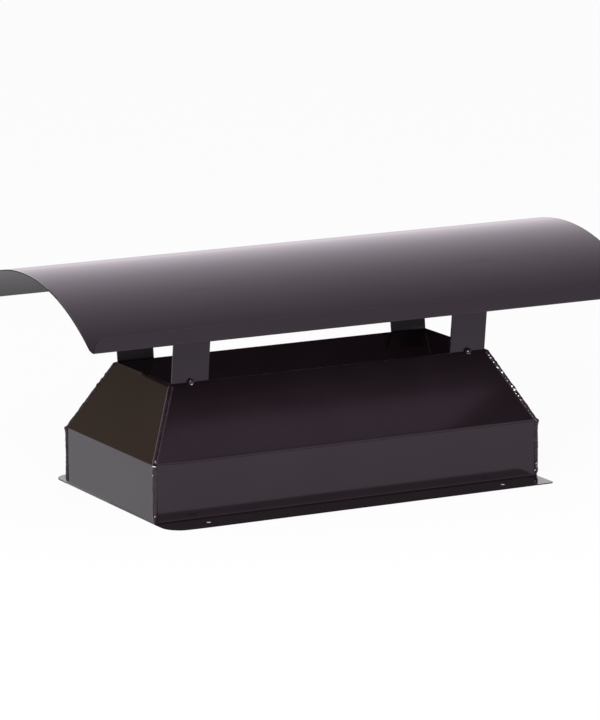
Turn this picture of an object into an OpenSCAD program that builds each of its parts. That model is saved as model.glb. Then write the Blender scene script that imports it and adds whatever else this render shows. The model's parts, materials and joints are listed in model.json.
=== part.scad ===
// Chimney cowl of black sheet steel: a flanged, hipped base that sits on the chimney, four straps
// and a barrel-arched roof sheet with upturned long edges. X runs along the length, the front is
// at -Y, Z is up, and the origin lies under the middle of the base.

/* [Base] */
// Outside length of the collar
base_l = 430; // [380:1:480]
// Outside width of the collar
base_w = 200; // [170:1:230]
// Height of the fold between the collar and the hipped upper part
collar_h = 58; // [35:1:85]
// Height of the top rim
rim_h = 128; // [110:1:150]
// How far each side leans in between the fold and the rim
hip_in = 37.5; // [25:0.5:50]
// Thickness of the base sheet
sheet_t = 1; // [0.8:0.1:1.5]
// Inside radius of the bends in the base sheet
bend_r = 1.5; // [1:0.1:3]

/* [Flanges] */
// Width of the flanges along the two long sides
flange_w = 35; // [28:1:50]
// Radius of the flange corners
flange_corner_r = 5; // [2:0.5:10]
// Diameter of the fixing holes
hole_d = 6; // [4:0.5:8]
// Distance between the two holes of a flange
hole_spacing = 330; // [260:1:350]
// Distance from the collar to the middle of a hole
hole_out = 17.5; // [12:0.5:20]

/* [Roof] */
// Length of the roof sheet
roof_l = 610; // [540:1:700]
// Width of the roof over its upturned edges
roof_w = 310; // [280:1:350]
// Height of the underside of the long edges
eave_h = 187; // [178:1:200]
// Height of the crown
crown_h = 240; // [230:1:260]
// Thickness of the roof sheet
roof_t = 1; // [0.8:0.1:1.5]
// Height of the upturned edges
lip_h = 16; // [10:1:25]
// Inside radius of the fold at the foot of an upturned edge
fold_r = 1; // [0.8:0.1:2]
// Radius of the corners at the ends of the upturned edges
lip_corner_r = 12; // [2:0.5:12]

/* [Straps] */
// Width of the flat straps
strap_w = 40; // [25:1:50]
// Thickness of the flat straps
strap_t = 2; // [1.5:0.1:3]
// Inside radius of the bends in the straps
strap_bend_r = 2; // [1:0.1:3]
// How far a strap laps down inside the base
strap_lap = 22; // [12:1:30]
// Angle at which a strap leans outward
strap_lean = 7; // [4:0.5:10]
// Length of the tab under the roof
strap_tab = 22; // [12:1:30]
// Gap between a strap and the end panel beside it
strap_gap = 0.6; // [0.4:0.1:5]

/* [Welds] */
// Radius of the bead along a corner
bead_r = 2.6; // [1.5:0.1:3.5]
// Radius of the tack where a strap crosses the rim
tack_r = 4.2; // [3:0.1:6]

/* [Hidden] */
$fn = 96;
black = [0.2, 0.18, 0.2];
half_l = base_l / 2;
half_w = base_w / 2;
// How far a blank runs on past the rim, and a cutter past what it cuts
over = 10;
// Angle between the hipped part and the vertical, and the length of sheet along it
hip_a = atan(hip_in / (rim_h - collar_h));
hip_len = norm([hip_in, rim_h - collar_h]);
// Straight height of the collar up to the bend of the fold
fold_z = collar_h - (bend_r + sheet_t) * tan(hip_a / 2);
// Half the opening's width and length between the rim's outer edges, and the sheet cut level there
rim_y = half_w - hip_in;
rim_x = half_l - hip_in;
rim_t = sheet_t / cos(hip_a);
// The fold at each long edge of the roof, and the arch from one to the other
fold_or = fold_r + roof_t;
eave_y = roof_w / 2 - fold_or;
arch_rise = crown_h - eave_h - roof_t;
arch_rho = (pow(arch_rise, 2) + pow(eave_y, 2)) / (2 * arch_rise);
arch_a = asin(eave_y / arch_rho);
arch_z = eave_h + fold_or - arch_rho * cos(arch_a);
under_r = arch_rho - fold_or;
// Angle by which a fold runs on into the arch, so that the two fuse
seam = 3;
// A strap's outer face crosses the rim at the sheet's inner face, clear of the end panel
strap_y = rim_y - rim_t;
strap_x = rim_x - rim_t - strap_gap - strap_w / 2;
strap_turn = hip_a + strap_lean;
strap_set = strap_bend_r * tan(strap_turn / 2);
// Where the leg's outer face meets the underside of the arch, seen from the arch's centre
leg_off = strap_y * cos(strap_lean) - (rim_h - arch_z) * sin(strap_lean);
leg_top = acos(leg_off / under_r) - strap_lean;
leg_len = under_r - rim_h + arch_z;

// Part of a ring about the origin, between two angles
module ring_sector(inner, outer, from, to) {
    mid = (from + to) / 2;
    reach = 2 * outer;
    intersection() {
        difference() {
            circle(r = outer);
            circle(r = inner);
        }
        polygon([[0, 0], reach * [cos(from), sin(from)], 2 * reach * [cos(mid), sin(mid)],
                 reach * [cos(to), sin(to)]]);
    }
}

// Sheet seen on edge: straight lengths from the origin along X with a turn after each but the
// last, positive to the left. The sheet lies on the left of the line that it follows.
module bent_sheet(t, r, lengths, turns, i = 0) {
    square([lengths[i], t]);
    if (i < len(turns)) {
        turn = turns[i];
        side = turn > 0 ? t + r : -r;
        from = turn > 0 ? -90 : 90 + turn;
        translate([lengths[i], side]) {
            ring_sector(r, r + t, from, from + abs(turn));
            rotate(turn) translate([0, -side]) bent_sheet(t, r, lengths, turns, i + 1);
        }
    }
}

// The rounding cut off the corner of a plate, where the corner is the origin and the plate
// reaches from it towards -X and -Y
module corner_cut(r, t) {
    translate([-r, -r, -over]) difference() {
        cube([r + over, r + over, t + 2 * over]);
        translate([0, 0, -1]) cylinder(r = r, h = t + 2 * over + 2);
    }
}

// A prism that leaves both ends of a panel mitred in plan, for a panel along the -Y side
module mitre_prism(long, wide, out) {
    deep = hip_in + over;
    translate([0, 0, -1]) linear_extrude(rim_h + 1)
        polygon([[-long, -wide - out], [long, -wide - out], [long, -wide],
                 [long - deep, -wide + deep], [-long + deep, -wide + deep], [-long, -wide]]);
}

// The long panel at the front, from one bent sheet: flange, collar and hipped part
module long_panel() {
    difference() {
        intersection() {
            translate([-half_l, 0, 0]) rotate([90, 0, 90]) linear_extrude(base_l)
                translate([-half_w - flange_w, 0])
                    bent_sheet(sheet_t, bend_r,
                               [flange_w - bend_r, fold_z - sheet_t - bend_r, hip_len + over],
                               [90, -hip_a]);
            mitre_prism(half_l, half_w, flange_w);
        }
        for (side = [0, 1]) mirror([side, 0, 0]) {
            translate([hole_spacing / 2, -half_w - hole_out, -over])
                cylinder(d = hole_d, h = sheet_t + 2 * over);
            translate([half_l, -half_w - flange_w, 0]) mirror([0, 1, 0])
                corner_cut(flange_corner_r, sheet_t);
        }
    }
}

// The end panel at the left, from one bent sheet: collar and hipped part
module end_panel() {
    intersection() {
        translate([0, half_w, 0]) rotate([90, 0, 0]) linear_extrude(base_w)
            translate([-half_l + sheet_t, 0]) rotate(90)
                bent_sheet(sheet_t, bend_r, [fold_z, hip_len + over], [-hip_a]);
        rotate(-90) mitre_prism(half_w, half_l, 0);
    }
}

// The space inside the outer faces of one pair of panels, as a section that reaches past the rim
module inner_section(half) {
    slope = hip_in / (rim_h - collar_h);
    top = half - hip_in - slope * over;
    polygon([[-half, -over], [half, -over], [half, collar_h], [top, rim_h + over],
             [-top, rim_h + over], [-half, collar_h]]);
}

// The weld at the front left corner: up the collar, then up the hip to the rim
module corner_weld() {
    run = norm([hip_in, hip_in, rim_h - collar_h]);
    tilt = acos((rim_h - collar_h) / run);
    foot = sheet_t + bend_r;
    difference() {
        union() {
            translate([-half_l, -half_w, foot]) cylinder(r = bead_r, h = collar_h - foot);
            translate([-half_l, -half_w, collar_h]) {
                sphere(r = bead_r);
                rotate([0, tilt, 45]) cylinder(r = bead_r, h = run);
            }
        }
        intersection() {
            translate([-base_l, 0, 0]) rotate([90, 0, 90]) linear_extrude(2 * base_l)
                inner_section(half_w);
            translate([0, base_w, 0]) rotate([90, 0, 0]) linear_extrude(2 * base_w)
                inner_section(half_l);
        }
    }
}

// A front strap about X = 0, from one bent flat bar: lap inside the hip, leg, and a tab that is
// turned outward and dressed to the curve of the roof
module strap() {
    translate([-strap_w / 2, 0, 0]) rotate([90, 0, 90]) linear_extrude(strap_w) {
        intersection() {
            translate([-strap_y, rim_h]) rotate(90 - hip_a) translate([-strap_lap, -strap_t])
                bent_sheet(strap_t, strap_bend_r, [strap_lap - strap_set, leg_len], [strap_turn]);
            translate([0, arch_z]) circle(r = under_r);
        }
        translate([0, arch_z])
            ring_sector(under_r - strap_t, under_r, 180 - leg_top - strap_t * 90 / PI / under_r,
                        180 - leg_top + strap_tab * 180 / PI / under_r);
    }
}

// The tack that joins a front strap's outer face to the rim, about X = 0
module tack() {
    difference() {
        translate([0, -rim_y, rim_h]) sphere(r = tack_r);
        translate([-base_l, 0, 0]) rotate([90, 0, 90]) linear_extrude(2 * base_l) {
            intersection() {
                inner_section(half_w);
                translate([-half_w, 0]) square([base_w, rim_h]);
            }
            translate([-strap_y, rim_h]) rotate(90 + strap_lean) translate([-tack_r, -base_w])
                square([3 * tack_r, base_w]);
        }
    }
}

// The roof from one sheet: the arch, and each long edge folded back up to stand as a lip
module roof() {
    lip = lip_h - fold_or;
    difference() {
        translate([-roof_l / 2, 0, 0]) rotate([90, 0, 90]) linear_extrude(roof_l) {
            translate([0, arch_z])
                ring_sector(under_r, under_r + roof_t, 90 - arch_a, 90 + arch_a);
            for (side = [0, 1]) mirror([side, 0]) translate([-eave_y, eave_h + fold_or]) {
                ring_sector(fold_r, fold_or, 180, 270 + arch_a + seam);
                translate([-fold_or, 0]) square([roof_t, lip]);
            }
        }
        for (end = [0, 1], side = [0, 1]) mirror([end, 0, 0]) mirror([0, side, 0])
            translate([roof_l / 2, -roof_w / 2, eave_h + lip_h]) rotate([90, 0, 0])
                translate([-lip_corner_r, -lip_corner_r, -roof_t - 0.5]) difference() {
                    cube([lip_corner_r + over, lip_corner_r + over, roof_t + over]);
                    translate([0, 0, -1])
                        cylinder(r = lip_corner_r, h = roof_t + over + 2);
                }
    }
}

// Places a piece at one of the four corners, made for the front left or for the front
module at_corner(end, side) mirror([end, 0, 0]) mirror([0, side, 0]) children();

module front_panel() color(black) long_panel();
module back_panel() color(black) mirror([0, 1, 0]) long_panel();
module left_end_panel() color(black) end_panel();
module right_end_panel() color(black) mirror([1, 0, 0]) end_panel();
module weld(end, side) color(black) at_corner(end, side) corner_weld();
module placed_strap(end, side) color(black) at_corner(end, side) translate([-strap_x, 0, 0]) strap();
module placed_tack(end, side) color(black) at_corner(end, side) translate([-strap_x, 0, 0]) tack();
module roof_sheet() color(black) roof();

front_panel();
back_panel();
left_end_panel();
right_end_panel();
weld(0, 0);  // weld_front_left
weld(1, 0);  // weld_front_right
weld(0, 1);  // weld_back_left
weld(1, 1);  // weld_back_right
placed_strap(0, 0);  // strap_front_left
placed_strap(1, 0);  // strap_front_right
placed_strap(0, 1);  // strap_back_left
placed_strap(1, 1);  // strap_back_right
placed_tack(0, 0);  // tack_front_left
placed_tack(1, 0);  // tack_front_right
placed_tack(0, 1);  // tack_back_left
placed_tack(1, 1);  // tack_back_right
roof_sheet();  // roof
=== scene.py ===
"""The looks of a black sheet-steel chimney cowl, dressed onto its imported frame.

The frame gives the sizes. Each piece is rebuilt here with what the plain solid lacks: rounded
sheet edges, sheet that isn't dead flat, welds with ripples and drips, and sprayed black enamel.
Metres, with the front at -Y and Z up.
"""

import json
import logging
import math
from dataclasses import dataclass
from enum import Enum

import bpy
import numpy as np
from mathutils import Matrix, Vector, noise


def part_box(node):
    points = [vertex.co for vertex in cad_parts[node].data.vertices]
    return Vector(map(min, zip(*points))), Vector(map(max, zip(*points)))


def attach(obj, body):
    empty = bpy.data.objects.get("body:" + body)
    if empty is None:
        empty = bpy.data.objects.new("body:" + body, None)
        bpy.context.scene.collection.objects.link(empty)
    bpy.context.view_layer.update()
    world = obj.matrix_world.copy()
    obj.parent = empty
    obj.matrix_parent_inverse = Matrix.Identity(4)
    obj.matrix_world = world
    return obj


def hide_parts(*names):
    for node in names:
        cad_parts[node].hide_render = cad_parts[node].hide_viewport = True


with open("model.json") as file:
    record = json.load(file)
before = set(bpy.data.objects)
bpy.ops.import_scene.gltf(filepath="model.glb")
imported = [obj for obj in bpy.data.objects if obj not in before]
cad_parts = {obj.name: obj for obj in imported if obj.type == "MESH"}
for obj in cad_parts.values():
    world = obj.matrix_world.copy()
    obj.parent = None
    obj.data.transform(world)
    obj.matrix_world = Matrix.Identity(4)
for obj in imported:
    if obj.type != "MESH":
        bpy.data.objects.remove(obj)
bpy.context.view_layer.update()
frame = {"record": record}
log = logging.getLogger("cowl")

MM = 0.001
Colour = tuple[float, float, float]


class End(Enum):
    """The two short ends of the cowl, as the sign of X."""

    LEFT = -1
    RIGHT = 1


class Side(Enum):
    """The two long sides of the cowl, as the sign of Y."""

    FRONT = -1
    BACK = 1


class Hand(Enum):
    """How steadily a weld was laid."""

    STEADY = 0.3
    UNEVEN = 1.0


@dataclass(frozen=True)
class Sizes:
    """The cowl's sizes: the frame's, and the stock that it is bent from."""

    half_l: float
    half_w: float
    flange_w: float
    rim_h: float
    rim_x: float
    rim_y: float
    roof_l: float
    roof_w: float
    eave_h: float
    crown_h: float
    strap_x: float
    strap_w: float
    hole_r: float
    hole_x: float
    hole_y: float
    collar_h: float = 58 * MM
    sheet_t: float = 1 * MM
    bend_r: float = 1.5 * MM
    soft_fold_r: float = 6 * MM

    @classmethod
    def from_frame(cls) -> "Sizes":
        """Reads the sizes off the frame's nodes and its mount."""
        end_low, end_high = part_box("left_end_panel")
        front_low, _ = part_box("front_panel")
        roof_low, roof_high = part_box("roof")
        strap_low, strap_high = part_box("strap_front_right")
        holes = next(m for m in frame["record"]["mounts"] if m["kind"] == "bolt_pattern")["dims"]
        half_l, half_w, rim_h = -end_low.x, -end_low.y, end_high.z
        # The leaning sheet is cut level at the rim, so the rim is a little wider than the sheet.
        rise = rim_h - cls.collar_h
        lean_in = half_l + end_high.x
        for _ in range(8):
            lean_in = half_l + end_high.x - cls.sheet_t * math.hypot(rise, lean_in) / rise
        return cls(
            half_l=half_l, half_w=half_w, flange_w=-front_low.y - half_w, rim_h=rim_h,
            rim_x=half_l - lean_in, rim_y=half_w - lean_in,
            roof_l=roof_high.x - roof_low.x, roof_w=roof_high.y - roof_low.y,
            eave_h=roof_low.z, crown_h=roof_high.z,
            strap_x=(strap_low.x + strap_high.x) / 2, strap_w=strap_high.x - strap_low.x,
            hole_r=holes["hole_r_mm"] * MM,
            hole_x=holes["spacing_x_mm"] * MM / 2, hole_y=holes["spacing_y_mm"] * MM / 2,
        )

    @property
    def lean(self) -> float:
        """Angle of the sloping sheets from the vertical."""
        return math.atan2(self.half_l - self.rim_x, self.rim_h - self.collar_h)


class Wire:
    """One output of a shader node. Plain arithmetic on it adds Math nodes."""

    def __init__(self, graph: "Graph", socket: bpy.types.NodeSocket) -> None:
        """Keeps the output and the graph it belongs to.

        Args:
            graph: The node tree being built.
            socket: The output.
        """
        self.graph = graph
        self.socket = socket

    def __add__(self, other: "Wire | float") -> "Wire":
        """Adds a wire or a number."""
        return self.graph.math("ADD", self, other)

    def __sub__(self, other: "Wire | float") -> "Wire":
        """Takes a wire or a number away."""
        return self.graph.math("SUBTRACT", self, other)

    def __rsub__(self, other: float) -> "Wire":
        """Takes this wire away from a number."""
        return self.graph.math("SUBTRACT", other, self)

    def __mul__(self, other: "Wire | float") -> "Wire":
        """Multiplies by a wire or a number."""
        return self.graph.math("MULTIPLY", self, other)

    def __neg__(self) -> "Wire":
        """Turns the sign round."""
        return self * -1.0

    __radd__ = __add__
    __rmul__ = __mul__


class Graph:
    """The node tree of a material or of the world, built from nothing."""

    def __init__(self, owner: bpy.types.Material | bpy.types.World) -> None:
        """Clears the owner's node tree.

        Args:
            owner: The material or world that the nodes belong to.
        """
        owner.use_nodes = True
        self.tree = owner.node_tree
        self.tree.nodes.clear()

    def node(self, kind: str, settings: dict | None = None, values: dict | None = None) -> bpy.types.Node:
        """Adds one node.

        Args:
            kind: Its type.
            settings: Its properties, which are set first.
            values: Numbers, colours or wires for its inputs, by name or number.

        Returns:
            The new node.
        """
        made = self.tree.nodes.new(kind)
        for name, setting in (settings or {}).items():
            setattr(made, name, setting)
        for name, value in (values or {}).items():
            if isinstance(value, Wire):
                self.tree.links.new(value.socket, made.inputs[name])
            else:
                made.inputs[name].default_value = value
        return made

    def wire(self, kind: str, settings: dict | None = None, values: dict | None = None,
             output: str | int = 0) -> Wire:
        """Adds one node and returns one of its outputs.

        Args:
            kind: Its type.
            settings: Its properties.
            values: Values for its inputs.
            output: The output that is wanted, by name or number.

        Returns:
            That output.
        """
        return Wire(self, self.node(kind, settings, values).outputs[output])

    def math(self, operation: str, *terms: Wire | float) -> Wire:
        """Adds a Math node on one or two terms."""
        return self.wire("ShaderNodeMath", {"operation": operation}, dict(enumerate(terms)))

    def rise(self, value: Wire, start: float, stop: float) -> Wire:
        """A smooth step from 0 to 1.

        Args:
            value: What is compared.
            start: Where the step leaves 0.
            stop: Where it reaches 1.

        Returns:
            The step.
        """
        return self.wire("ShaderNodeMapRange", {"interpolation_type": "SMOOTHSTEP"},
                         {"Value": value, "From Min": start, "From Max": stop})

    def blend(self, share: Wire, first: Wire | tuple, second: Wire | tuple) -> Wire:
        """Mixes two colours.

        Args:
            share: How much of the second one shows.
            first: The first colour.
            second: The second colour.

        Returns:
            The mixed colour.
        """
        return self.wire("ShaderNodeMix", {"data_type": "RGBA"},
                         {0: share, 6: opaque(first), 7: opaque(second)}, output=2)

    def in_view(self) -> Wire:
        """1 for a ray from the camera, straight, off a glossy surface or through glass."""
        path = self.node("ShaderNodeLightPath")
        camera, glossy, through = (Wire(self, path.outputs[name]) for name in
                                   ("Is Camera Ray", "Is Glossy Ray", "Is Transmission Ray"))
        return self.math("MAXIMUM", camera, self.math("MAXIMUM", glossy, through))

    def dot(self, vector: Wire, direction: tuple[float, float, float]) -> Wire:
        """The share of a vector along a direction."""
        return self.wire("ShaderNodeVectorMath", {"operation": "DOT_PRODUCT"},
                         {0: vector, 1: direction}, output="Value")

    def grain(self, where: Wire, size: float, detail: float = 2.0) -> Wire:
        """Cloudy noise about 0.5.

        Args:
            where: The coordinates.
            size: The size of one cloud, in metres.
            detail: How many finer layers it has.

        Returns:
            The noise.
        """
        return self.wire("ShaderNodeTexNoise", None,
                         {"Vector": where, "Scale": 1.0 / size, "Detail": detail})


def opaque(colour: Wire | tuple) -> Wire | tuple:
    """Gives a colour of three numbers its fourth, and leaves a wire as it is."""
    return colour if isinstance(colour, Wire) else (*colour, 1.0)


@dataclass(frozen=True)
class BlackEnamel:
    """Sprayed black enamel on steel, near black with a purplish sheen."""

    name: str
    colour: Colour = (0.0112, 0.0068, 0.0088)
    pale_colour: Colour = (0.0128, 0.0080, 0.0102)
    sheen: Colour = (0.81, 0.69, 0.87)
    roughness: float = 0.11
    roughness_drift: float = 0.02
    drift_size: float = 60 * MM
    peel_size: float = 2.2 * MM
    peel_depth: float = 0.002 * MM
    nib_spacing: float = 14 * MM
    nib_size: float = 0.35 * MM
    nib_depth: float = 0.02 * MM

    def material(self) -> bpy.types.Material:
        """Builds the material.

        Returns:
            The material, with its colour, roughness and bump from nodes.
        """
        made = bpy.data.materials.new(self.name)
        graph = Graph(made)
        where = graph.wire("ShaderNodeTexCoord", output="Object")
        clouds = graph.grain(where, self.drift_size)
        peel = graph.grain(where, self.peel_size, detail=1.0)
        gap = graph.wire("ShaderNodeTexVoronoi", None,
                         {"Vector": where, "Scale": 1.0 / self.nib_spacing}, output="Distance")
        nibs = 1.0 - graph.rise(gap, 0.0, self.nib_size / self.nib_spacing)
        height = peel * (self.peel_depth / MM) + nibs * (self.nib_depth / MM)
        bump = graph.wire("ShaderNodeBump", None, {"Height": height, "Distance": MM})
        coat = graph.node("ShaderNodeBsdfPrincipled", None, {
            "Base Color": graph.blend(graph.rise(clouds, 0.35, 0.7), self.colour, self.pale_colour),
            "Roughness": (clouds - 0.5) * (2 * self.roughness_drift) + self.roughness,
            "IOR": 1.5,
            "Specular Tint": opaque(self.sheen),
            "Normal": bump,
        })
        graph.node("ShaderNodeOutputMaterial", None, {"Surface": Wire(graph, coat.outputs[0])})
        return made


@dataclass(frozen=True)
class RawSteel:
    """Plain steel: a cut edge dulled by overspray, or a bright spot of bare weld that also stands in for a
    glint, a painted highlight.
    """

    name: str
    colour: Colour
    roughness: float
    metallic: float
    gleam: float
    speck_size: float = 0.6 * MM

    def material(self) -> bpy.types.Material:
        """Builds the material.

        Returns:
            The material, slightly blotchy.
        """
        made = bpy.data.materials.new(self.name)
        graph = Graph(made)
        where = graph.wire("ShaderNodeTexCoord", output="Object")
        blotch = graph.grain(where, self.speck_size)
        steel = graph.node("ShaderNodeBsdfPrincipled", None, {
            "Base Color": graph.blend(graph.rise(blotch, 0.3, 0.7), self.colour,
                                      tuple(0.8 * share for share in self.colour)),
            "Metallic": self.metallic,
            "Roughness": blotch * 0.1 + self.roughness,
            "Specular IOR Level": self.gleam,
        })
        graph.node("ShaderNodeOutputMaterial", None, {"Surface": Wire(graph, steel.outputs[0])})
        return made


class Finishes:
    """The finishes, each built once."""

    def __init__(self) -> None:
        """Builds every finish."""
        self.panel = BlackEnamel("black_sheet").material()
        # The inside coat is lighter and redder than the outside one: painted light standing in for the light
        # that the roof keeps from the inside.
        self.inside = BlackEnamel("black_sheet_inside_painted_lighter", colour=(0.022, 0.006, 0.014),
                                  pale_colour=(0.025, 0.008, 0.017), roughness=0.40).material()
        self.roof = BlackEnamel("black_roof", roughness=0.15, drift_size=110 * MM).material()
        self.under_roof = BlackEnamel("black_under_roof", roughness=0.45).material()
        self.strap = BlackEnamel("black_strap", roughness=0.16, peel_depth=0.004 * MM,
                                 peel_size=1.6 * MM).material()
        self.weld = BlackEnamel("black_weld", colour=(0.014, 0.008, 0.010), roughness=0.10,
                                pale_colour=(0.022, 0.014, 0.016), drift_size=4 * MM,
                                peel_size=0.9 * MM, peel_depth=0.006 * MM).material()
        self.cut_edge = RawSteel("dull_cut_edge", (0.0055, 0.003, 0.004), 0.5, 0.0, 0.12).material()
        # Bright bare metal for the weld spots where glints show: partly bare weld, partly painted highlight.
        self.bare_weld_and_glint = RawSteel("bare_weld_and_glint", (0.86, 0.84, 0.86), 0.16, 1.0, 0.5).material()


class BentStrip:
    """A bent strip seen on edge, as pairs of points on its two faces.

    It is followed along its right-hand face, and the other face lies to the left of that.
    """

    def __init__(self, start: tuple[float, float], heading: float, thickness: float) -> None:
        """Starts the strip.

        Args:
            start: The first point on the right-hand face.
            heading: The direction of travel, from the first axis, in radians.
            thickness: The strip's thickness.
        """
        self.thickness = thickness
        self.heading = heading
        self.right = [np.array(start, float)]
        self.left = [self.right[0] + thickness * self.across]

    @property
    def along(self) -> np.ndarray:
        """Unit vector of travel."""
        return np.array([math.cos(self.heading), math.sin(self.heading)])

    @property
    def across(self) -> np.ndarray:
        """Unit vector to the left of travel."""
        return np.array([-math.sin(self.heading), math.cos(self.heading)])

    def straight(self, length: float, steps: int = 1, crowd: int = 0) -> "BentStrip":
        """Runs straight on.

        Args:
            length: How far.
            steps: How many pieces that run has.
            crowd: -1 for shorter pieces at its start, 1 at its end, 0 for equal ones.

        Returns:
            The strip itself.
        """
        first, other = self.right[-1], self.left[-1]
        shares = np.linspace(0, 1, steps + 1)[1:]
        if crowd:
            bent = np.sin(shares * math.pi / 2)
            shares = bent if crowd > 0 else 1 - np.sqrt(1 - np.minimum(bent, 1) ** 2)
        for share in shares:
            self.right.append(first + self.along * length * share)
            self.left.append(other + self.along * length * share)
        return self

    def to_height(self, height: float, steps: int) -> "BentStrip":
        """Runs straight on until both faces end level at a height."""
        run = self.along
        first, other = self.right[-1], self.left[-1]
        for share in np.linspace(0, 1, steps + 1)[1:]:
            self.right.append(first + run * share * (height - first[1]) / run[1])
            self.left.append(other + run * share * (height - other[1]) / run[1])
        return self

    def bend(self, turn: float, radius: float, steps: int) -> "BentStrip":
        """Turns by an angle.

        Args:
            turn: The angle in radians, positive to the left.
            radius: The radius on the inside of the bend.
            steps: How many pieces the arc has.

        Returns:
            The strip itself.
        """
        hand = math.copysign(1.0, turn)
        reach = radius + self.thickness if turn > 0 else radius
        centre = self.right[-1] + self.across * hand * reach
        arms = self.right[-1] - centre, self.left[-1] - centre
        for share in np.linspace(0, 1, steps + 1)[1:]:
            c, s = math.cos(turn * share), math.sin(turn * share)
            rotate = np.array([[c, -s], [s, c]])
            self.right.append(centre + rotate @ arms[0])
            self.left.append(centre + rotate @ arms[1])
        self.heading += turn
        return self

    def faces(self) -> tuple[np.ndarray, np.ndarray]:
        """The points on the right-hand and the left-hand face."""
        return np.array(self.right), np.array(self.left)


def closed_sheet(name: str, outer: np.ndarray, inner: np.ndarray) -> bpy.types.Mesh:
    """Joins two equal grids of points, one on each face of a sheet, into a closed mesh.

    Args:
        name: The mesh's name.
        outer: Grid of points on the outer face, rows by columns by 3.
        inner: The same on the inner face, whose faces get material slot 1, and the edges slot 2.

    Returns:
        The mesh.
    """
    rows, columns = outer.shape[:2]
    index = np.arange(rows * columns).reshape(rows, columns)
    other = index + rows * columns

    def quads(a: np.ndarray, b: np.ndarray, c: np.ndarray, d: np.ndarray) -> np.ndarray:
        """Stacks four equal arrays of corners into quads."""
        return np.stack([a, b, c, d], axis=-1).reshape(-1, 4)

    top = quads(index[:-1, :-1], index[1:, :-1], index[1:, 1:], index[:-1, 1:])
    under = quads(other[:-1, :-1], other[:-1, 1:], other[1:, 1:], other[1:, :-1])
    edges = [
        quads(index[0, :-1], index[0, 1:], other[0, 1:], other[0, :-1]),
        quads(index[-1, 1:], index[-1, :-1], other[-1, :-1], other[-1, 1:]),
        quads(index[1:, 0], index[:-1, 0], other[:-1, 0], other[1:, 0]),
        quads(index[:-1, -1], index[1:, -1], other[1:, -1], other[:-1, -1]),
    ]
    mesh = bpy.data.meshes.new(name)
    points = np.concatenate([outer.reshape(-1, 3), inner.reshape(-1, 3)])
    faces = np.concatenate([top, under, *edges])
    mesh.from_pydata(points.tolist(), [], faces.tolist())
    slots = np.zeros(len(faces), np.int32)
    slots[len(top):] = 1
    slots[len(top) + len(under):] = 2
    mesh.attributes.new("material_index", "INT", "FACE").data.foreach_set("value", slots)
    mesh.validate()
    return mesh


def rounded(radius: float, into: np.ndarray, power: float = 2.0) -> np.ndarray:
    """How far a rounded corner's outline stays back from the square one.

    Args:
        radius: The corner's radius.
        into: How far into the corner each point is, along the other side.
        power: 2 for a round corner, more for a squarer one.

    Returns:
        The distances.
    """
    share = np.clip(into / radius, 0, 1) if radius else np.zeros_like(into)
    return radius * (1 - (1 - share ** power) ** (1 / power))


def waves(points: np.ndarray, size: float, seed: float) -> np.ndarray:
    """Smooth noise from -1 to 1 at each point.

    Args:
        points: The points, with any shape before the last axis.
        size: The size of one wave, in metres.
        seed: A number that tells one sheet from another.

    Returns:
        One value for each point.
    """
    flat = points.reshape(-1, 3) / size + seed
    return np.array([noise.noise(Vector(p)) for p in flat]).reshape(points.shape[:-1])


class Piece:
    """A piece of the cowl: a mesh that stands for one node of the frame."""

    def __init__(self, node: str, slot: str, mesh: bpy.types.Mesh,
                 materials: list[bpy.types.Material]) -> None:
        """Adds the mesh to the scene.

        Args:
            node: The frame's node that the piece stands for.
            slot: The record's material slot.
            mesh: The mesh.
            materials: Its materials, in the order of its material numbers.
        """
        self.node = node
        self.slot = slot
        self.shape = bpy.data.objects.new(f"painted_{node}", mesh)
        bpy.context.scene.collection.objects.link(self.shape)
        for material in materials:
            mesh.materials.append(material)

    def drill(self, holes: list[tuple[float, float]], radius: float, depth: float) -> None:
        """Cuts upright round holes through the piece.

        Args:
            holes: X and Y of each hole.
            radius: Their radius.
            depth: Half the cutter's height, about Z = 0.
        """
        cutters = []
        for x, y in holes:
            steps = 48
            ring = [(x + radius * math.cos(math.tau * i / steps),
                     y + radius * math.sin(math.tau * i / steps)) for i in range(steps)]
            mesh = bpy.data.meshes.new("drill")
            points = [(*p, -depth) for p in ring] + [(*p, depth) for p in ring]
            walls = [(i, (i + 1) % steps, steps + (i + 1) % steps, steps + i) for i in range(steps)]
            caps = [tuple(reversed(range(steps))), tuple(range(steps, 2 * steps))]
            mesh.from_pydata(points, [], walls + caps)
            cutters.append(bpy.data.objects.new("drill", mesh))
            bpy.context.scene.collection.objects.link(cutters[-1])
            cut = self.shape.modifiers.new("hole", "BOOLEAN")
            cut.object = cutters[-1]
            cut.solver = "EXACT"
        self.settle()
        for cutter in cutters:
            bpy.data.objects.remove(cutter)

    def round_edges(self, radius: float) -> None:
        """Rounds the sharp edges."""
        bevel = self.shape.modifiers.new("edges", "BEVEL")
        bevel.width = radius
        bevel.segments = 3
        bevel.limit_method = "ANGLE"
        bevel.angle_limit = math.radians(50)
        bevel.harden_normals = True
        self.settle()

    def settle(self) -> None:
        """Applies the modifiers to the mesh."""
        bpy.context.view_layer.update()
        whole = self.shape.evaluated_get(bpy.context.evaluated_depsgraph_get())
        mesh = bpy.data.meshes.new_from_object(whole)
        self.shape.modifiers.clear()
        self.shape.data = mesh

    def hand_over(self) -> None:
        """Smooths the shading and puts the piece on the frame."""
        self.shape.data.name = self.shape.name
        self.shape.data.polygons.foreach_set("use_smooth", [True] * len(self.shape.data.polygons))
        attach(self.shape, "root")
        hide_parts(self.node)
        log.info("%s: %d faces", self.shape.name, len(self.shape.data.polygons))


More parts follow.
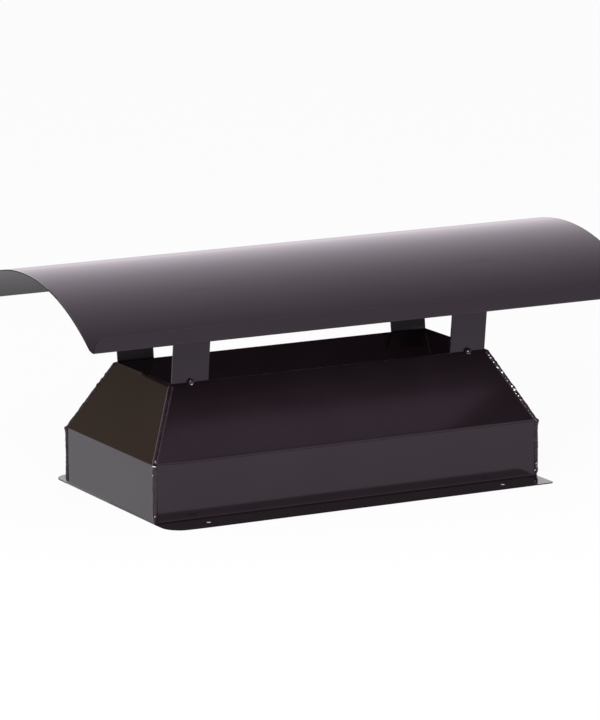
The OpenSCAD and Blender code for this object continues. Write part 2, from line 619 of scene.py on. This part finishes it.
@dataclass
class Base:
    """The flanged base: two long panels with flanges and two end panels."""

    sizes: Sizes
    finishes: Finishes
    columns: int = 120
    edge_r: float = 0.25 * MM
    corner_r: float = 5 * MM
    worn_corner_r: float = 18 * MM
    wave: float = 0.09 * MM
    wave_size: float = 90 * MM
    corner_lift: float = 0.8 * MM
    lift_reach: float = 45 * MM
    fold_pull: float = 1.5 * MM
    pull_reach: float = 22 * MM

    def collar_top(self, fold_r: float) -> float:
        """Height at which the collar ends and the bend into the slope starts.

        Args:
            fold_r: The bend's inside radius.

        Returns:
            The height.
        """
        size = self.sizes
        return size.collar_h - (fold_r + size.sheet_t) * math.tan(size.lean / 2)

    def finish_panel(self, node: str, outer: np.ndarray, inner: np.ndarray, seed: float,
                     place: Matrix, holes: list[tuple[float, float]]) -> None:
        """Makes one panel from the points of its two faces, given as if it stood at the front.

        Args:
            node: The frame's node.
            outer: Points on the outer face, rows by columns by 3.
            inner: Points on the inner face.
            seed: Tells this sheet's waves from the others'.
            place: Turns the panel from the front to its place.
            holes: X and Y of the flange's holes, at the front.
        """
        middle = (outer + inner) / 2
        normal = outer - inner
        normal /= np.linalg.norm(normal, axis=-1, keepdims=True)
        calm = np.clip((middle[..., 2:] - 4 * MM) / (20 * MM), 0, 1)
        shift = normal * waves(middle, self.wave_size, seed)[..., None] * self.wave * calm
        mesh = closed_sheet(node, outer + shift, inner + shift)
        mesh.transform(place)
        if place.determinant() < 0:
            mesh.flip_normals()
        finishes = self.finishes
        piece = Piece(node, "black_sheet", mesh, [finishes.panel, finishes.inside, finishes.cut_edge])
        piece.round_edges(self.edge_r)
        if holes:
            turned = [place @ Vector((x, y, 0)) for x, y in holes]
            piece.drill([(p.x, p.y) for p in turned], self.sizes.hole_r, 5 * MM)
        piece.hand_over()

    def long_panel(self, side: Side) -> None:
        """Builds the panel on one long side: flange, collar and sloping part."""
        size = self.sizes
        strip = BentStrip((-size.half_w - size.flange_w, 0), 0, size.sheet_t)
        strip.straight(self.worn_corner_r, 12, crowd=-1)
        strip.straight(size.flange_w - size.bend_r - self.worn_corner_r, 8)
        strip.bend(math.radians(90), size.bend_r, 10)
        strip.straight(self.collar_top(size.soft_fold_r) - size.sheet_t - size.bend_r, 16)
        strip.bend(-size.lean, size.soft_fold_r, 14)
        strip.to_height(size.rim_h, 22)
        radii = self.worn_corner_r, self.corner_r
        grids = [self.mitred(face, size.half_l, size.half_w, radii) for face in strip.faces()]
        if side is Side.FRONT:
            for grid in grids:
                self.handle(grid)
        holes = [(-size.hole_x, -size.hole_y), (size.hole_x, -size.hole_y)]
        place = Matrix.Diagonal((1, -side.value, 1, 1))
        self.finish_panel(f"{side.name.lower()}_panel", grids[1], grids[0], 3.7 + side.value,
                          place, holes)

    def end_panel(self, end: End) -> None:
        """Builds the panel at one end: collar and sloping part."""
        size = self.sizes
        strip = BentStrip((-size.half_l + size.sheet_t, 0), math.radians(90), size.sheet_t)
        strip.straight(self.collar_top(size.bend_r), 16)
        strip.bend(-size.lean, size.bend_r, 8)
        strip.to_height(size.rim_h, 20)
        grids = [self.mitred(face, size.half_w, size.half_l, (0, 0)) for face in strip.faces()]
        turn = Matrix.Rotation(math.radians(-90), 4, "Z")
        place = Matrix.Diagonal((-end.value, 1, 1, 1)) @ turn
        self.finish_panel(f"{end.name.lower()}_end_panel", grids[1], grids[0], 9.1 + end.value,
                          place, [])

    def mitred(self, face: np.ndarray, long: float, wide: float,
               corner_r: tuple[float, float]) -> np.ndarray:
        """Spreads a panel's profile along its length, up to the mitre at each end.

        Args:
            face: Points of one face, as distance from the middle and height.
            long: Half the panel's length.
            wide: Distance of its collar from the middle.
            corner_r: Radius of the flange's left and right corner.

        Returns:
            The grid of points, for a panel at the front.
        """
        inward = np.maximum(0, wide + face[:, 0])
        edge = self.sizes.flange_w + wide + face[:, 0]
        left, right = (long - inward - rounded(radius, radius - edge) for radius in corner_r)
        share = np.linspace(-1, 1, self.columns)
        share = (share + np.sin(share * math.pi / 2)) / 4 + 0.5
        x = (left + right)[:, None] * share[None, :] - left[:, None]
        return np.stack([x, np.broadcast_to(face[:, :1], x.shape),
                         np.broadcast_to(face[:, 1:], x.shape)], axis=-1)

    def handle(self, grid: np.ndarray) -> None:
        """Leaves the marks of handling on the front panel's left end, in place.

        The flange's corner is a little off the floor, and the weld has pulled the fold up.
        """
        size = self.sizes
        from_end = grid[..., 0] + size.half_l
        near = np.clip(1 - from_end / self.lift_reach, 0, 1)
        out = np.clip((-size.half_w - 4 * MM - grid[..., 1]) / size.flange_w, 0, 1)
        low = grid[..., 2] / size.collar_h
        high = (size.rim_h - grid[..., 2]) / (size.rim_h - size.collar_h)
        at_fold = np.clip(np.minimum(low, high), 0, 1) ** 2
        grid[..., 2] += self.corner_lift * near ** 2 * out
        grid[..., 2] += self.fold_pull * np.exp(-(from_end / self.pull_reach) ** 2) * at_fold

    def build(self) -> None:
        """Builds the four panels."""
        for side in Side:
            self.long_panel(side)
        for end in End:
            self.end_panel(end)


@dataclass(frozen=True)
class Lump:
    """A blob of weld metal on a bead, or a dip where its height is negative."""

    at: float
    angle: float
    height: float
    width: float
    bright: bool = False


@dataclass
class Beads:
    """The four corner welds, up the collar and on up the hip."""

    sizes: Sizes
    finishes: Finishes
    radius: float = 2.6 * MM
    sink: float = 1.7 * MM
    step: float = 0.45 * MM
    around: int = 40
    sweep: float = math.radians(140)
    pitch: float = 1.9 * MM
    # Distances past the fold of the spatter, whose bright spots also stand in for glints: partly painted
    # highlight.
    spatter_and_glints_at: tuple[float, ...] = (26, 30.6, 34.2, 37.7, 42.2, 49.7, 59.2, 65.4, 66.7, 72.9, 78.1, 81.7)

    def path(self) -> tuple[np.ndarray, np.ndarray, np.ndarray, np.ndarray, float]:
        """The line of the bead at the front left corner.

        Returns:
            Distance along it, its points, at each its outward and its sideways direction, and
            the distance at which it reaches the fold.
        """
        size = self.sizes
        low = size.sheet_t + size.bend_r
        corner = np.array([-size.half_l, -size.half_w, 0])
        foot, fold = corner + [0, 0, low], corner + [0, 0, size.collar_h]
        rim = np.array([-size.rim_x, -size.rim_y, size.rim_h])
        first, second = np.linalg.norm(fold - foot), np.linalg.norm(rim - fold)
        along = np.arange(0, first + second, self.step)
        up = np.clip(along / first, 0, 1)[:, None]
        on = np.clip((along - first) / second, 0, 1)[:, None]
        out = np.array([-1, -1, 0]) / math.sqrt(2)
        slope = (rim - fold) / second
        hip_out = out - slope * (out @ slope)
        hip_out /= np.linalg.norm(hip_out)
        turn = np.clip((along - first) / (3 * MM) + 0.5, 0, 1)[:, None]
        outward = out * (1 - turn) + hip_out * turn
        outward /= np.linalg.norm(outward, axis=1, keepdims=True)
        points = foot + (fold - foot) * up + (rim - fold) * on - outward * self.sink
        sideways = np.broadcast_to(np.array([1, -1, 0]) / math.sqrt(2), outward.shape)
        return along, points, outward, sideways, first

    def lumps(self, end: End, side: Side, fold: float) -> list[Lump]:
        """The blobs on one bead.

        Args:
            end: The end of the cowl.
            side: The side of the cowl.
            fold: Distance along the bead to the fold.

        Returns:
            A dome and a dip at the fold and a blob at the foot, and spatter on an uneven bead.
        """
        found = [
            Lump(fold - 0.8 * MM, 0.2, 1.2 * MM, 2.4 * MM),
            Lump(fold + 3.0 * MM, 0.2, -0.9 * MM, 1.8 * MM),
            Lump(4.5 * MM, 0.2, 0.7 * MM, 1.9 * MM),
            Lump(0.5 * MM, 0.2, -0.6 * MM, 1.2 * MM),
        ]
        if self.hand(end, side) is Hand.STEADY:
            # On the steady bead the bright spots sit where the lamp's glints fall, on the dome at the fold, on
            # the bead's side and on the foot: painted highlights.
            found += [Lump(fold + 0.5 * MM - abs(a) * 1.6 * MM, 0.25 + a, 0.1 * MM, 0.75 * MM, True)
                      for a in (-0.6, -0.35, -0.1, 0.15, 0.4)]
            found += [Lump(fold - 9 * MM, -0.45, 0.35 * MM, 0.6 * MM, True),
                      Lump(fold - 12 * MM, -0.7, -0.4 * MM, 2.2 * MM),
                      Lump(5.5 * MM, 0.3, 0.1 * MM, 0.5 * MM, True)]
            return found
        # On the uneven bead the spatter's bright spots are bare weld that also stands in for its glints:
        # partly painted highlight.
        chance = np.random.default_rng(5 + 2 * end.value + side.value)
        for at in self.spatter_and_glints_at:
            place = fold + at * MM
            found.append(Lump(place, chance.uniform(0.75, 1.45), chance.uniform(0.4, 0.8) * MM,
                              chance.uniform(0.8, 1.25) * MM, True))
            found.append(Lump(place - chance.uniform(1, 3) * MM, chance.uniform(-0.9, 1.4),
                              chance.uniform(-0.5, 0.7) * MM, chance.uniform(0.9, 1.7) * MM))
        found += [Lump(fold - share * fold, chance.uniform(0.6, 1.4), 0.4 * MM, 0.55 * MM, share > 0.7)
                  for share in (0.15, 0.3, 0.42, 0.55, 0.68, 0.8, 0.86, 0.93)]
        return found

    def hand(self, end: End, side: Side) -> Hand:
        """How steadily this corner was welded."""
        return Hand.STEADY if (end is End.LEFT) is (side is Side.FRONT) else Hand.UNEVEN

    def bead(self, end: End, side: Side) -> None:
        """Builds the bead at one corner."""
        along, points, outward, sideways, fold = self.path()
        angle = np.linspace(-self.sweep, self.sweep, self.around)
        hand = self.hand(end, side)
        where, turn = np.meshgrid(along, angle, indexing="ij")
        ripple = np.sin(math.tau * (where / self.pitch + 0.25 * turn ** 2))
        spots = np.stack([where, turn * self.radius, np.full_like(where, end.value + 3 * side.value)],
                         axis=-1)
        drift = waves(spots, 9 * MM, 0.5) * 0.12 + waves(spots, 2.2 * MM, 4.5) * 0.10 * hand.value
        radius = self.radius * (1 + drift + 0.03 * hand.value * ripple)
        bright = np.zeros(where.shape, bool)
        for lump in self.lumps(end, side, fold):
            apart = ((where - lump.at) ** 2 + (self.radius * (turn - lump.angle)) ** 2) / lump.width ** 2
            radius += lump.height * np.exp(-apart)
            if lump.bright:
                bright |= apart < 0.55
        fade = np.clip(np.minimum(where, along[-1] - where) / (1.2 * MM), 0, 1)
        radius *= 0.35 + 0.65 * np.sqrt(fade)
        skin = (points[:, None] + outward[:, None] * (np.cos(turn) * radius)[..., None]
                + sideways[:, None] * (np.sin(turn) * radius)[..., None])
        self.close(end, side, skin, bright)

    def close(self, end: End, side: Side, skin: np.ndarray, bright: np.ndarray) -> None:
        """Closes a bead's skin behind and at its ends, and puts it in its corner.

        Args:
            end: The end of the cowl.
            side: The side of the cowl.
            skin: The skin's points, along by around by 3, for the front left corner.
            bright: Which of them are bare metal: bare weld, and painted highlight where glints show.
        """
        rows, columns = skin.shape[:2]
        index = np.arange(rows * columns).reshape(rows, columns)
        following = np.roll(index, -1, axis=1)
        walls = np.stack([index[:-1], following[:-1], following[1:], index[1:]], axis=-1).reshape(-1, 4)
        faces = [*walls.tolist(), index[0, ::-1].tolist(), index[-1].tolist()]
        node = f"weld_{side.name.lower()}_{end.name.lower()}"
        mesh = bpy.data.meshes.new(node)
        mesh.from_pydata(skin.reshape(-1, 3).tolist(), [], faces)
        slots = [*bright[:-1].reshape(-1).astype(int).tolist(), 0, 0]
        mesh.attributes.new("material_index", "INT", "FACE").data.foreach_set("value", slots)
        place = Matrix.Diagonal((-end.value, -side.value, 1, 1))
        mesh.transform(place)
        if place.determinant() < 0:
            mesh.flip_normals()
        piece = Piece(node, "black_weld", mesh, [self.finishes.weld, self.finishes.bare_weld_and_glint])
        piece.hand_over()

    def build(self) -> None:
        """Builds the four beads."""
        for side in Side:
            for end in End:
                self.bead(end, side)


@dataclass(frozen=True)
class Knob:
    """A drop of metal on a tack, placed across and up from the tack's middle."""

    across: float
    up: float
    height: float
    width: float
    bright: bool = True


@dataclass
class Straps:
    """The four flat straps that carry the roof, and the tack on each."""

    sizes: Sizes
    finishes: Finishes
    thickness: float = 2 * MM
    bend_r: float = 2 * MM
    lap: float = 22 * MM
    lean_out: float = math.radians(7)
    tab: float = 22 * MM
    tab_bend_r: float = 0.8 * MM
    edge_r: float = 0.35 * MM
    columns: int = 24
    tack_r: float = 4.2 * MM

    def profile(self, roof: "Roof") -> tuple[np.ndarray, np.ndarray]:
        """The front strap seen on edge, as Y and Z.

        Args:
            roof: The roof that its tab lies under.

        Returns:
            The points of its back and of its front face.
        """
        size = self.sizes
        turn = size.lean + self.lean_out
        setback = self.bend_r * math.tan(turn / 2)
        rim_y = size.rim_y - size.sheet_t / math.cos(size.lean)
        foot = np.array([-rim_y, size.rim_h]) - self.lap * np.array([math.sin(size.lean), math.cos(size.lean)])
        back = foot + self.thickness * np.array([math.cos(size.lean), -math.sin(size.lean)])
        strip = BentStrip(tuple(back), math.pi / 2 - size.lean, self.thickness)
        strip.straight(self.lap - setback, 8).bend(turn, self.bend_r, 8)
        # The tab's bend touches the leg's front face and the lower face of the tab.
        tab_r = roof.under_r - self.thickness - self.tab_bend_r
        start = strip.left[-1] + strip.across * self.tab_bend_r - np.array([0, roof.centre_z])
        half = start @ strip.along
        length = -half + math.sqrt(half ** 2 - start @ start + tab_r ** 2)
        strip.straight(length, 24)
        knee = start + strip.along * length
        strip.bend(math.atan2(knee[1], knee[0]) - self.lean_out, self.tab_bend_r, 10)
        strip.bend(self.tab / roof.under_r, roof.under_r - self.thickness, 12)
        return strip.faces()

    def strap(self, end: End, side: Side, roof: "Roof") -> None:
        """Builds one strap."""
        size = self.sizes
        spread = np.linspace(-size.strap_w / 2, size.strap_w / 2, self.columns) - size.strap_x
        grids = []
        for face in self.profile(roof):
            x = np.broadcast_to(spread[None, :], (len(face), self.columns))
            grids.append(np.stack([x, np.broadcast_to(face[:, :1], x.shape),
                                   np.broadcast_to(face[:, 1:], x.shape)], axis=-1))
        node = f"strap_{side.name.lower()}_{end.name.lower()}"
        shift = waves(grids[1], 25 * MM, end.value + 5 * side.value)[..., None] * 0.05 * MM
        mesh = closed_sheet(node, grids[1] + shift, grids[0] + shift)
        place = Matrix.Diagonal((-end.value, -side.value, 1, 1))
        mesh.transform(place)
        if place.determinant() < 0:
            mesh.flip_normals()
        piece = Piece(node, "black_strap", mesh, [self.finishes.strap] * 3)
        piece.round_edges(self.edge_r)
        piece.hand_over()

    def tack(self, end: End, side: Side) -> None:
        """Builds the tack where one strap crosses the rim."""
        size = self.sizes
        node = f"tack_{side.name.lower()}_{end.name.lower()}"
        mesh = bpy.data.meshes.new(node)
        rows, columns = 56, 96
        polar = np.linspace(0, math.pi, rows)[1:-1]
        around = np.arange(columns) * math.tau / columns
        p, a = np.meshgrid(polar, around, indexing="ij")
        # The pole points to the front, so that the skin is even where it shows.
        ways = np.stack([np.sin(p) * np.cos(a), -np.cos(p), np.sin(p) * np.sin(a)], axis=-1)
        ways = np.concatenate([[[0, -1, 0]], ways.reshape(-1, 3), [[0, 1, 0]]])
        seed = 7.3 * end.value + 2.9 * side.value
        radius = self.tack_r * (0.80 + 0.12 * waves(ways, 0.8, seed))
        bright = np.zeros(len(ways), bool)
        for knob in self.knobs(end):
            flat = np.array([-end.value * knob.across, 0, knob.up]) / self.tack_r
            flat[1] = -math.sqrt(max(0.05, 1 - flat @ flat))
            apart = np.sum((ways - flat / np.linalg.norm(flat)) ** 2, axis=1) / (knob.width / self.tack_r) ** 2
            radius += knob.height * np.exp(-apart)
            bright |= (apart < 0.75) & knob.bright
        points = ways * radius[:, None] + [-size.strap_x, -size.rim_y, size.rim_h]
        rise = points[:, 2] - size.rim_h
        strap_face = -size.rim_y + size.sheet_t / math.cos(size.lean) - rise * math.tan(self.lean_out)
        panel_face = -size.rim_y + rise * math.tan(size.lean)
        buried = 0.7 * MM + np.where(rise > 0, strap_face, panel_face)
        points[:, 1] = np.minimum(points[:, 1], buried)
        last = len(points) - 1
        index = 1 + np.arange((rows - 2) * columns).reshape(rows - 2, columns)
        following = np.roll(index, -1, axis=1)
        faces = np.stack([index[:-1], index[1:], following[1:], following[:-1]], axis=-1).reshape(-1, 4)
        fans = [(0, int(i), int(j)) for i, j in zip(index[0], following[0])]
        fans += [(last, int(j), int(i)) for i, j in zip(index[-1], following[-1])]
        mesh.from_pydata(points.tolist(), [], faces.tolist() + fans)
        slots = [int(bright[face[0]]) for face in faces] + [int(bright[fan[1]]) for fan in fans]
        mesh.attributes.new("material_index", "INT", "FACE").data.foreach_set("value", slots)
        place = Matrix.Diagonal((-end.value, -side.value, 1, 1))
        mesh.transform(place)
        if place.determinant() < 0:
            mesh.flip_normals()
        Piece(node, "black_weld", mesh, [self.finishes.weld, self.finishes.bare_weld_and_glint]).hand_over()

    def knobs(self, end: End) -> list[Knob]:
        """The drops on a tack: bright spots round a dark ball, the bright ones bare metal placed where glints
        show, painted highlights as well as bare weld.
        """
        if end is End.LEFT:
            return [Knob(2.2 * MM, 2.4 * MM, 1.0 * MM, 1.6 * MM, bright=False),
                    Knob(-1.6 * MM, 2.9 * MM, 0.5 * MM, 0.7 * MM),
                    Knob(-3.2 * MM, 1.2 * MM, 0.4 * MM, 0.7 * MM),
                    Knob(-0.6 * MM, -1.6 * MM, 0.6 * MM, 1.2 * MM)]
        return [Knob(2.4 * MM, 1.3 * MM, 1.0 * MM, 1.7 * MM, bright=False),
                Knob(-2.0 * MM, 1.1 * MM, 0.5 * MM, 1.0 * MM),
                Knob(-1.8 * MM, -2.3 * MM, 0.4 * MM, 0.8 * MM),
                Knob(0.9 * MM, -2.4 * MM, 0.4 * MM, 0.8 * MM),
                Knob(0.4 * MM, 3.4 * MM, 0.4 * MM, 0.7 * MM)]

    def build(self, roof: "Roof") -> None:
        """Builds the four straps with their tacks."""
        for side in Side:
            for end in End:
                self.strap(end, side, roof)
                self.tack(end, side)


@dataclass
class Roof:
    """The arched roof, one sheet with both long edges folded back up as lips."""

    sizes: Sizes
    finishes: Finishes
    fold_r: float = 1 * MM
    lip_h: float = 16 * MM
    lip_sag: float = 1.6 * MM
    lip_corner_r: float = 14.7 * MM
    lip_corner_power: float = 2.6
    fold_trim: float = 2.8 * MM
    trim_reach: float = 6 * MM
    columns: int = 150
    arch_steps: int = 180
    edge_r: float = 0.22 * MM
    ripple: float = 0.06 * MM
    ripple_width: float = 30 * MM
    ripple_length: float = 420 * MM
    mark_depth: float = 0.12 * MM
    mark_y: float = 88 * MM
    mark_length: float = 30 * MM

    def __post_init__(self) -> None:
        """Works out the arch from the roof's size."""
        size = self.sizes
        self.fold_out = self.fold_r + size.sheet_t
        self.eave_y = size.roof_w / 2 - self.fold_out
        rise = size.crown_h - size.eave_h - size.sheet_t
        radius = (rise ** 2 + self.eave_y ** 2) / (2 * rise)
        self.arch = math.asin(self.eave_y / radius)
        self.centre_z = size.eave_h + self.fold_out - radius * math.cos(self.arch)
        self.under_r = radius - self.fold_out

    def profile(self) -> tuple[np.ndarray, np.ndarray]:
        """The roof seen on edge, as Y and Z, from the front lip's top to the back lip's.

        Returns:
            The points of its lower (and the lips' outer) face and of its upper face.
        """
        size = self.sizes
        strip = BentStrip((-size.roof_w / 2, size.eave_h + self.lip_h), math.radians(-90), size.sheet_t)
        strip.straight(self.lip_h - self.fold_out, 18, crowd=-1)
        strip.bend(math.radians(90) + self.arch, self.fold_r, 16)
        strip.bend(-2 * self.arch, self.under_r, self.arch_steps)
        strip.bend(math.radians(90) + self.arch, self.fold_r, 16)
        strip.straight(self.lip_h - self.fold_out, 18, crowd=1)
        return strip.faces()

    def reach(self, under: np.ndarray) -> np.ndarray:
        """Half the roof's length at each point of its profile.

        Args:
            under: The profile's points on the lower face.

        Returns:
            The lengths, shorter where the lips and the folds are rounded off at their ends.
        """
        size = self.sizes
        lip = np.abs(under[:, 0]) > size.roof_w / 2 - 0.5 * self.fold_out
        up = under[:, 1] - size.eave_h
        along = np.hypot(size.roof_w / 2 - np.abs(under[:, 0]), up)
        trim = self.fold_trim * np.clip(1 - np.maximum(along - self.fold_out, 0) / self.trim_reach, 0, 1) ** 2
        high = up - self.lip_h + self.lip_corner_r
        corner = self.fold_trim + rounded(self.lip_corner_r, high, self.lip_corner_power)
        return size.roof_l / 2 - np.where(lip, corner, trim)

    def sag(self, grid: np.ndarray) -> None:
        """Lowers the lips' tops towards the roof's ends, in place."""
        size = self.sizes
        up = (grid[..., 2] - size.eave_h - self.fold_out) / (self.lip_h - self.fold_out)
        lip = np.abs(grid[..., 1]) > self.eave_y + 0.2 * self.fold_out
        grid[..., 2] -= self.lip_sag * (grid[..., 0] / (size.roof_l / 2)) ** 2 * np.clip(up, 0, 1) * lip

    def dents(self, middle: np.ndarray) -> np.ndarray:
        """How far the sheet is out of true, inward, at each point of it."""
        size = self.sizes
        stretched = middle / [self.ripple_length, self.ripple_width, 1]
        stretched[..., 2] = 0
        depth = self.ripple * (1 + waves(stretched, 1.0, 2.3))
        for x in (-size.strap_x - 5 * MM, size.strap_x - 5 * MM):
            across = -self.mark_y - middle[..., 1]
            crease = np.where(across > 0, np.exp(-across / (9 * MM)), np.exp(across / (1.2 * MM)))
            along = np.exp(-((middle[..., 0] - x) / (self.mark_length / 2)) ** 4)
            depth += self.mark_depth * crease * along
        return depth

    def build(self) -> None:
        """Builds the roof."""
        under, top = self.profile()
        share = np.linspace(-1, 1, self.columns)
        share = 0.35 * np.sin(share * math.pi / 2) + 0.65 * share
        x = self.reach(under)[:, None] * share[None, :]
        grids = [np.stack([x, np.broadcast_to(face[:, :1], x.shape),
                           np.broadcast_to(face[:, 1:], x.shape)], axis=-1) for face in (top, under)]
        normal = grids[0] - grids[1]
        normal /= np.linalg.norm(normal, axis=-1, keepdims=True)
        arched = np.clip((self.eave_y - np.abs(grids[1][..., 1])) / (12 * MM), 0, 1)
        shift = normal * (self.dents((grids[0] + grids[1]) / 2) * arched)[..., None]
        for grid in grids:
            self.sag(grid)
        finishes = self.finishes
        mesh = closed_sheet("roof", grids[0] - shift, grids[1] - shift)
        piece = Piece("roof", "black_roof", mesh, [finishes.roof, finishes.under_roof, finishes.cut_edge])
        piece.round_edges(self.edge_r)
        piece.hand_over()


@dataclass(frozen=True)
class Camera:
    """The viewpoint of the picture."""

    left_of_front: float = math.radians(27.849)
    above: float = math.radians(11.651)
    roll: float = math.radians(-0.258)
    distance: float = 4.5612
    aim_height: float = 120 * MM
    aim_pixel: tuple[float, float] = (301.95, 363.32)
    pixels_per_metre: float = 997.54
    picture: tuple[int, int] = (600, 720)

    def build(self) -> None:
        """Adds the camera and makes it the scene's."""
        a, e = self.left_of_front, self.above
        back = Vector((-math.sin(a) * math.cos(e), -math.cos(a) * math.cos(e), math.sin(e)))
        right = Vector((math.cos(a), -math.sin(a), 0))
        up = back.cross(right)
        turned_right = right * math.cos(self.roll) + up * math.sin(self.roll)
        turned_up = back.cross(turned_right)
        data = bpy.data.cameras.new("camera")
        data.sensor_fit = "HORIZONTAL"
        data.sensor_width = 36
        wide, high = self.picture
        data.lens = self.pixels_per_metre * self.distance * data.sensor_width / wide
        data.clip_end = 100
        camera = bpy.data.objects.new("camera", data)
        across = (self.aim_pixel[0] - wide / 2) / self.pixels_per_metre
        upward = (high / 2 - self.aim_pixel[1]) / self.pixels_per_metre
        place = Vector((0, 0, self.aim_height)) + back * self.distance
        place -= turned_right * across + turned_up * upward
        turn = Matrix((turned_right, turned_up, back)).transposed().to_4x4()
        camera.matrix_world = Matrix.Translation(place) @ turn
        bpy.context.scene.collection.objects.link(camera)
        bpy.context.scene.camera = camera
        log.info("camera at %.3f %.3f %.3f", *place)


@dataclass(frozen=True)
class Lamp:
    """A square soft lamp that points at the cowl."""

    name: str
    direction: tuple[float, float, float]
    distance: float
    size: float
    brightness: float

    def build(self) -> None:
        """Adds the lamp."""
        data = bpy.data.lights.new(self.name, "AREA")
        data.shape = "SQUARE"
        data.size = self.size
        data.energy = self.brightness * math.pi * self.size ** 2
        lamp = bpy.data.objects.new(self.name, data)
        way = Vector(self.direction).normalized()
        lamp.location = Vector((0, 0, 0.1)) + way * self.distance
        lamp.rotation_mode = "QUATERNION"
        lamp.rotation_quaternion = way.to_track_quat("Z", "Y")
        lamp.visible_camera = False
        bpy.context.scene.collection.objects.link(lamp)


@dataclass(frozen=True)
class Card:
    """A flat card beside the camera that shows only in the gloss."""

    name: str
    brightness: Colour
    corners: tuple[tuple[float, float, float], ...]

    def build(self) -> None:
        """Adds the card."""
        mesh = bpy.data.meshes.new(self.name)
        mesh.from_pydata(self.corners, [], [tuple(range(len(self.corners)))])
        material = bpy.data.materials.new(self.name)
        graph = Graph(material)
        glow = graph.wire("ShaderNodeEmission", None, {"Color": opaque(self.brightness), "Strength": 1.0})
        graph.node("ShaderNodeOutputMaterial", None, {"Surface": glow})
        mesh.materials.append(material)
        card = bpy.data.objects.new(self.name, mesh)
        card.visible_camera = False
        card.visible_diffuse = False
        card.visible_shadow = False
        bpy.context.scene.collection.objects.link(card)


@dataclass(frozen=True)
class Studio:
    """A white table in a room that is bright behind and dim in front."""

    light_level: float = 0.50
    floor_half: float = 20.0
    floor_drop: float = 0.1 * MM
    shade_hole: tuple[float, float] = (0.214, 0.099)
    floor_colour: Colour = (0.90, 0.90, 0.90)
    shadow_share: float = 0.06
    bright_back: Colour = (1.34, 1.22, 1.33)
    dark_front: Colour = (0.040, 0.040, 0.040)
    pale_band: Colour = (0.92, 0.92, 0.92)
    brown_wall: Colour = (0.282, 0.224, 0.140)
    lamps: tuple[Lamp, ...] = (
        Lamp("key_lamp", (-0.50, -0.707, 0.50), 2.6, 1.15, 14.5),
    )
    cards: tuple[Card, ...] = (
        Card("grey_card", (0.50, 0.44, 0.51),
             ((-0.050, -0.381, 0.369), (0.403, -0.370, 0.358), (0.317, -0.397, 0.314),
              (-0.045, -0.4055, 0.322))),
    )

    def floor(self) -> None:
        """Adds the white floor, which keeps the cowl's shadow, open under the base where the dark world below
        shows inside it as painted shade.
        """
        wide, deep = self.shade_hole
        corners = [(-1, -1), (1, -1), (1, 1), (-1, 1)]
        points = [(x * self.floor_half, y * self.floor_half, -self.floor_drop) for x, y in corners]
        points += [(x * wide, y * deep, -self.floor_drop) for x, y in corners]
        mesh = bpy.data.meshes.new("floor")
        mesh.from_pydata(points, [], [(i, (i + 1) % 4, 4 + (i + 1) % 4, 4 + i) for i in range(4)])
        material = bpy.data.materials.new("white_floor")
        graph = Graph(material)
        lit = graph.wire("ShaderNodeBsdfDiffuse", None, {"Color": opaque(self.floor_colour)})
        white = graph.wire("ShaderNodeEmission", None, {"Color": (1, 1, 1, 1), "Strength": 1.0})
        seen = graph.in_view()
        shown = graph.wire("ShaderNodeMixShader", None,
                           {0: seen * (1 - self.shadow_share), 1: lit, 2: white})
        graph.node("ShaderNodeOutputMaterial", None, {"Surface": shown})
        mesh.materials.append(material)
        floor = bpy.data.objects.new("floor", mesh)
        bpy.context.scene.collection.objects.link(floor)

    def room(self) -> None:
        """Sets the world: an even light, and the room that shows behind and in the gloss."""
        world = bpy.data.worlds.new("studio")
        bpy.context.scene.world = world
        graph = Graph(world)
        way = graph.wire("ShaderNodeTexCoord", output="Generated")
        parts = graph.node("ShaderNodeSeparateXYZ", None, {"Vector": way})
        right, back, up = (Wire(graph, parts.outputs[axis]) for axis in "XYZ")
        fall = graph.wire("ShaderNodeMapRange", None,
                          {"Value": back, "From Min": -0.317, "From Max": 0.817})
        colour = graph.blend(fall, self.dark_front, self.bright_back)
        band = (graph.rise(up, 0.06, 0.13) * (1 - graph.rise(up, 0.44, 0.54))
                * graph.rise(-back, 0.10, 0.35) * graph.rise(right, -0.10, 0.15))
        colour = graph.blend(band, colour, self.pale_band)
        wall = Vector((-0.55, 0.80, 0.30)).normalized()
        near_wall = graph.dot(way, tuple(wall))
        brown = (graph.rise(near_wall, math.cos(math.radians(29)), math.cos(math.radians(19)))
                 * graph.rise(up, 0.10, 0.16))
        colour = graph.blend(brown, colour, self.brown_wall)
        # Below the horizon the world is dark; it shows only through the floor's hole under the base, as
        # painted shade inside it.
        colour = graph.blend(graph.rise(up, -0.02, 0.0), self.dark_front, colour)
        level = self.light_level
        shown = graph.blend(graph.in_view(), (level, level, level), colour)
        background = graph.wire("ShaderNodeBackground", None, {"Color": shown, "Strength": 1.0})
        graph.node("ShaderNodeOutputWorld", None, {"Surface": background})

    def build(self) -> None:
        """Adds the floor, the room, the lamps and the cards."""
        self.floor()
        self.room()
        for lamp in self.lamps:
            lamp.build()
        for card in self.cards:
            card.build()
        bpy.context.scene.view_settings.view_transform = "Standard"
        log.info("studio with %d lamps and %d cards", len(self.lamps), len(self.cards))


def main() -> None:
    """Builds the cowl piece by piece, then the studio and the camera."""
    logging.basicConfig(level=logging.INFO, format="%(name)s: %(message)s")
    sizes = Sizes.from_frame()
    finishes = Finishes()
    roof = Roof(sizes, finishes)
    Base(sizes, finishes).build()
    Beads(sizes, finishes).build()
    Straps(sizes, finishes).build(roof)
    roof.build()
    Studio().build()
    Camera().build()


if __name__ == "__main__":
    main()
